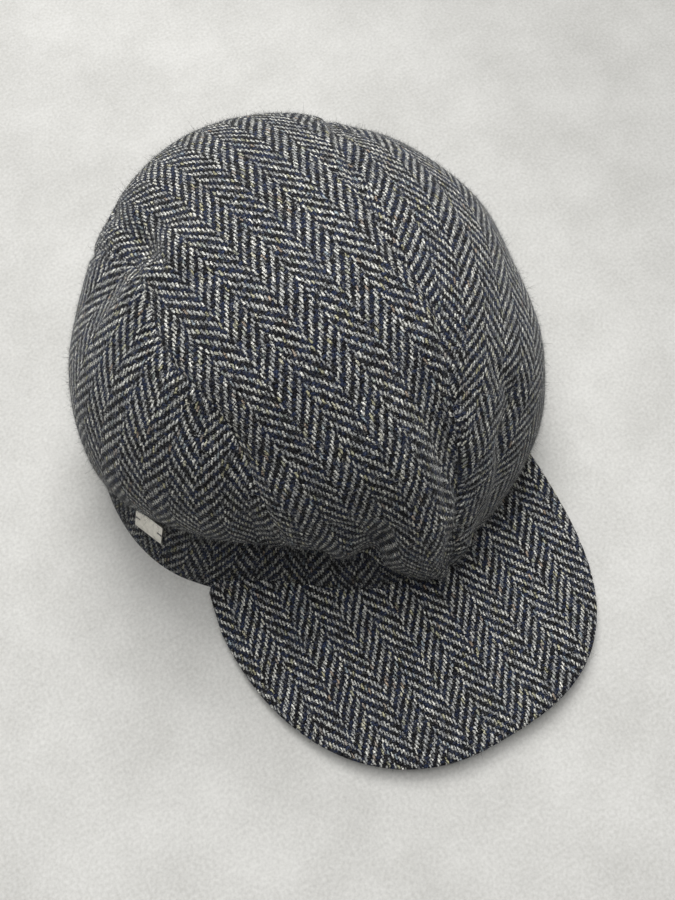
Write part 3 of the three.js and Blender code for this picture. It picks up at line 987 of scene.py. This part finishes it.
    # Loose light hairs over all
    hair = g.noise(uv, 170.0, 4.0, Distortion=3.0).outputs["Fac"]
    veil = g.times(g.ease(hair, 0.54, 0.70), 0.36)
    colour = g.mix(veil, colour, (0.27, 0.27, 0.26))
    pinch = g.noise(uv, 160.0, 2.0, Distortion=1.0).outputs["Fac"]
    speck = g.maths("MAXIMUM", g.maths("MULTIPLY_ADD", pinch, 5.6, -1.65), 0.08)
    colour = g.mix(1.0, colour, g.grey(speck), "MULTIPLY")
    g.put(g.surface.inputs["Base Color"], colour)
    g.put(g.surface.inputs["Roughness"], g.maths("MULTIPLY_ADD", fibre_light, 0.2, 0.78))
    g.surface.inputs["Specular IOR Level"].default_value = 0.04
    g.surface.inputs["Sheen Weight"].default_value = 0.28
    g.surface.inputs["Sheen Roughness"].default_value = 0.32
    g.surface.inputs["Sheen Tint"].default_value = (0.85, 0.86, 0.88, 1)
    raised = g.maths("MAXIMUM", light_top, g.times(dark_top, 0.7))
    height = g.add(raised, g.times(fibre_light, 0.25))
    bump = g.node("Bump", {"Height": height, "Strength": 0.9, "Distance": 0.00045})
    g.put(g.surface.inputs["Normal"], bump.outputs[0])
    return g.material


def plaque_metal():
    """Pale champagne-silver plate, finely brushed, with soft wear."""
    g = Shade("champagne_metal")
    at = g.node("TexCoord").outputs["Object"]
    turned = g.node("Mapping", {"Vector": at, "Rotation": (0.0, 0.0, math.radians(PLAQUE_AZIMUTH))})
    brushed = g.node("Mapping", {"Vector": turned.outputs[0], "Scale": (300.0, 300.0, 9000.0)})
    grain = g.noise(brushed.outputs[0], 1.0, 3.0).outputs["Fac"]
    wear = g.noise(at, 420.0, 4.0).outputs["Fac"]
    colour = g.ramp(wear, ((0.35, (0.62, 0.60, 0.55)), (0.65, (0.80, 0.78, 0.72))))
    g.put(g.surface.inputs["Base Color"], colour)
    g.surface.inputs["Metallic"].default_value = 1.0
    g.put(g.surface.inputs["Roughness"], g.add(g.times(grain, 0.18), g.times(wear, 0.2), 0.14))
    bump = g.node("Bump", {"Height": grain, "Strength": 0.25, "Distance": 0.00004})
    g.put(g.surface.inputs["Normal"], bump.outputs[0])
    return g.material


def thread_finish():
    """Light grey sewing thread, its plies wound along it."""
    g = Shade("sewing_thread")
    at = g.node("TexCoord").outputs["Object"]
    wound = {"Vector": at, "Scale": 900.0, "Distortion": 1.5}
    ply = g.node("TexWave", wound, bands_direction="DIAGONAL")
    # Painted shade: the colour darkens from 0.42 to 0.14 into the grooves between plies, in step
    # with their bump
    colour = g.ramp(ply.outputs["Fac"], ((0.0, (0.14, 0.14, 0.15)), (1.0, (0.42, 0.42, 0.42))))
    g.put(g.surface.inputs["Base Color"], colour)
    g.surface.inputs["Roughness"].default_value = 0.7
    bump = g.node("Bump", {"Height": ply.outputs["Fac"], "Strength": 0.6, "Distance": 0.0001})
    g.put(g.surface.inputs["Normal"], bump.outputs[0])
    return g.material


def wool_fibre():
    """Loose fibres, pale grey to dark, each with its own tone."""
    g = Shade("wool_fibre")
    at = g.node("TexCoord").outputs["Object"]
    tone = g.noise(at, 300.0, 1.0).outputs["Fac"]
    along = g.noise(at, 2600.0, 2.0).outputs["Fac"]
    colour = g.ramp(
        g.add(g.times(tone, 0.8), g.times(along, 0.2)),
        ((0.36, (0.02, 0.02, 0.022)), (0.50, (0.18, 0.18, 0.178)), (0.66, (0.54, 0.54, 0.51))),
    )
    g.put(g.surface.inputs["Base Color"], colour)
    g.put(g.surface.inputs["Roughness"], g.maths("MULTIPLY_ADD", along, 0.3, 0.5))
    return g.material


FLOOR_UP = (0.469, 0.883)  # the picture's up, along the floor; painted light brightens the floor the other way
FLOOR_PAINTED_SHADE_WAY = (0.95, 0.31)  # toward the corner darkened by painted shade


def floor_finish():
    """Plain pale floor with a faint mottle, brighter toward the viewer by painted light and darker
    toward one far corner by painted shade.
    """
    g = Shade("pale_floor")
    at = g.node("TexCoord").outputs["Object"]
    split = g.node("SeparateXYZ", {"Vector": at})
    broad = g.noise(at, 24.0, 6.0, Roughness=0.62).outputs["Fac"]
    fine = g.noise(at, 700.0, 3.0).outputs["Fac"]
    colour = g.ramp(
        g.add(g.times(broad, 0.5), g.times(fine, 0.5)),
        ((0.36, (0.56, 0.552, 0.522)), (0.64, (0.725, 0.717, 0.686))),
    )
    up, corner = (
        g.add(g.times(split.outputs[0], x), g.times(split.outputs[1], y))
        for x, y in (FLOOR_UP, FLOOR_PAINTED_SHADE_WAY)
    )
    # Painted light and shade: the colour is scaled from 1.14 near the viewer to 0.92 far off, and
    # down to 0.84 toward one far corner
    painted_light_to_viewer = g.maths("MULTIPLY_ADD", g.ease(up, -0.30, 0.25), -0.22, 1.14)
    painted_shade_far_corner = g.maths("MULTIPLY_ADD", g.ease(corner, 0.10, 0.26), -0.16, 1.0)
    tone = g.grey(g.times(painted_light_to_viewer, painted_shade_far_corner))
    g.put(g.surface.inputs["Base Color"], g.mix(1.0, colour, tone, "MULTIPLY"))
    g.surface.inputs["Roughness"].default_value = 0.8
    bump = g.node("Bump", {"Height": fine, "Strength": 0.15, "Distance": 0.0003})
    g.put(g.surface.inputs["Normal"], bump.outputs[0])
    return g.material


# Camera, light and floor

CAMERA_AIM = (1.7, 3.7, 0.0)
CAMERA_AWAY = 400.0
CAMERA_RAISED = 73.0
CAMERA_YAW = 28.0
CAMERA_FOCUS = 880.0  # pixels of the picture's 900 rows
PICTURE_ROWS = 900.0
SENSOR = 36.0
# Soft lights: name, place, width in metres and watts
LIGHTS = (
    ("window", (0.40, 0.90, 1.05), 0.9, 15.0),
    ("overhead", (0.05, 0.25, 1.3), 1.2, 10.5),
)
LIGHT_AIM = (0.0, 0.0, 0.03)
SKY = (0.96, 0.98, 1.0, 1)
SKY_STRENGTH = 0.12
FLOOR_SIZE = 6


def set_camera():
    data = bpy.data.cameras.new("camera")
    data.sensor_width = SENSOR
    data.lens = SENSOR * CAMERA_FOCUS / PICTURE_ROWS
    data.clip_start = 0.01
    data.clip_end = 10.0
    camera = bpy.data.objects.new("camera", data)
    rise, yaw = math.radians(CAMERA_RAISED), math.radians(CAMERA_YAW)
    low = math.cos(rise)
    back = Vector((-math.sin(yaw) * low, -math.cos(yaw) * low, math.sin(rise)))
    camera.location = (Vector(CAMERA_AIM) + back * CAMERA_AWAY) * MM
    camera.rotation_euler = (math.radians(90) - rise, 0, -yaw)
    bpy.context.scene.collection.objects.link(camera)
    bpy.context.scene.camera = camera


def soft_light(name, place, size, watts):
    data = bpy.data.lights.new(name, "AREA")
    data.shape = "DISK"
    data.size = size
    data.energy = watts
    ob = bpy.data.objects.new(name, data)
    ob.location = place
    ob.rotation_euler = (Vector(LIGHT_AIM) - Vector(place)).to_track_quat("-Z", "Y").to_euler()
    bpy.context.scene.collection.objects.link(ob)


def set_light():
    world = bpy.data.worlds.new("studio")
    bpy.context.scene.world = world
    world.use_nodes = True
    sky = world.node_tree.nodes["Background"]
    sky.inputs["Color"].default_value = SKY
    sky.inputs["Strength"].default_value = SKY_STRENGTH
    for light in LIGHTS:
        soft_light(*light)
    bpy.context.scene.view_settings.view_transform = "Standard"


def lay_floor():
    bpy.ops.object.select_all(action="DESELECT")
    bpy.ops.mesh.primitive_plane_add(size=FLOOR_SIZE)
    floor = bpy.context.object
    floor.name = "floor"
    floor.data.materials.append(floor_finish())


def finish_piece(ob, node, material):
    ob.data.materials.clear()
    ob.data.materials.append(material)
    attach(ob, "root")
    if node:
        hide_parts(node)


def dress():
    cloth = tweed("herringbone_tweed")
    fibre = wool_fibre()
    crown_cloths = []
    # Fibres stand on the faces that look away from these points
    middle = (0, 0, 30)
    low = (0, -20, -40)
    for k, (node, (ob, size, area)) in enumerate(crown_panels().items()):
        finish_piece(ob, node, cloth)
        crown_cloths.append(ob)
        nap = fibres("nap_" + node, [ob], middle, int(area * NAP_PER_AREA), NAP, 21 + k)
        finish_piece(nap, None, fibre)
    loose = fibres("loose_hairs_crown", crown_cloths, middle, LOOSE_CROWN, LOOSE, 31)
    finish_piece(loose, None, fibre)
    band, flat = band_piece()
    # The band wears a copy of the tweed whose light ends are dimmed to 0.68, painted shade under
    # the crown's overhang
    finish_piece(band, "band", tweed("herringbone_tweed_band_painted_shade", 0.68))
    peak = peak_piece()
    finish_piece(peak, "peak", cloth)
    nap = fibres("nap_band_peak", [band, peak], low, NAP_BAND_PEAK, NAP, 41)
    finish_piece(nap, None, fibre)
    loose = fibres("loose_hairs_band_peak", [band, peak], low, LOOSE_BAND_PEAK, LOOSE, 42)
    finish_piece(loose, None, fibre)
    plate, thread = plaque_piece()
    finish_piece(plate, "plaque", plaque_metal())
    finish_piece(thread, None, thread_finish())


set_camera()
set_light()
lay_floor()
dress()
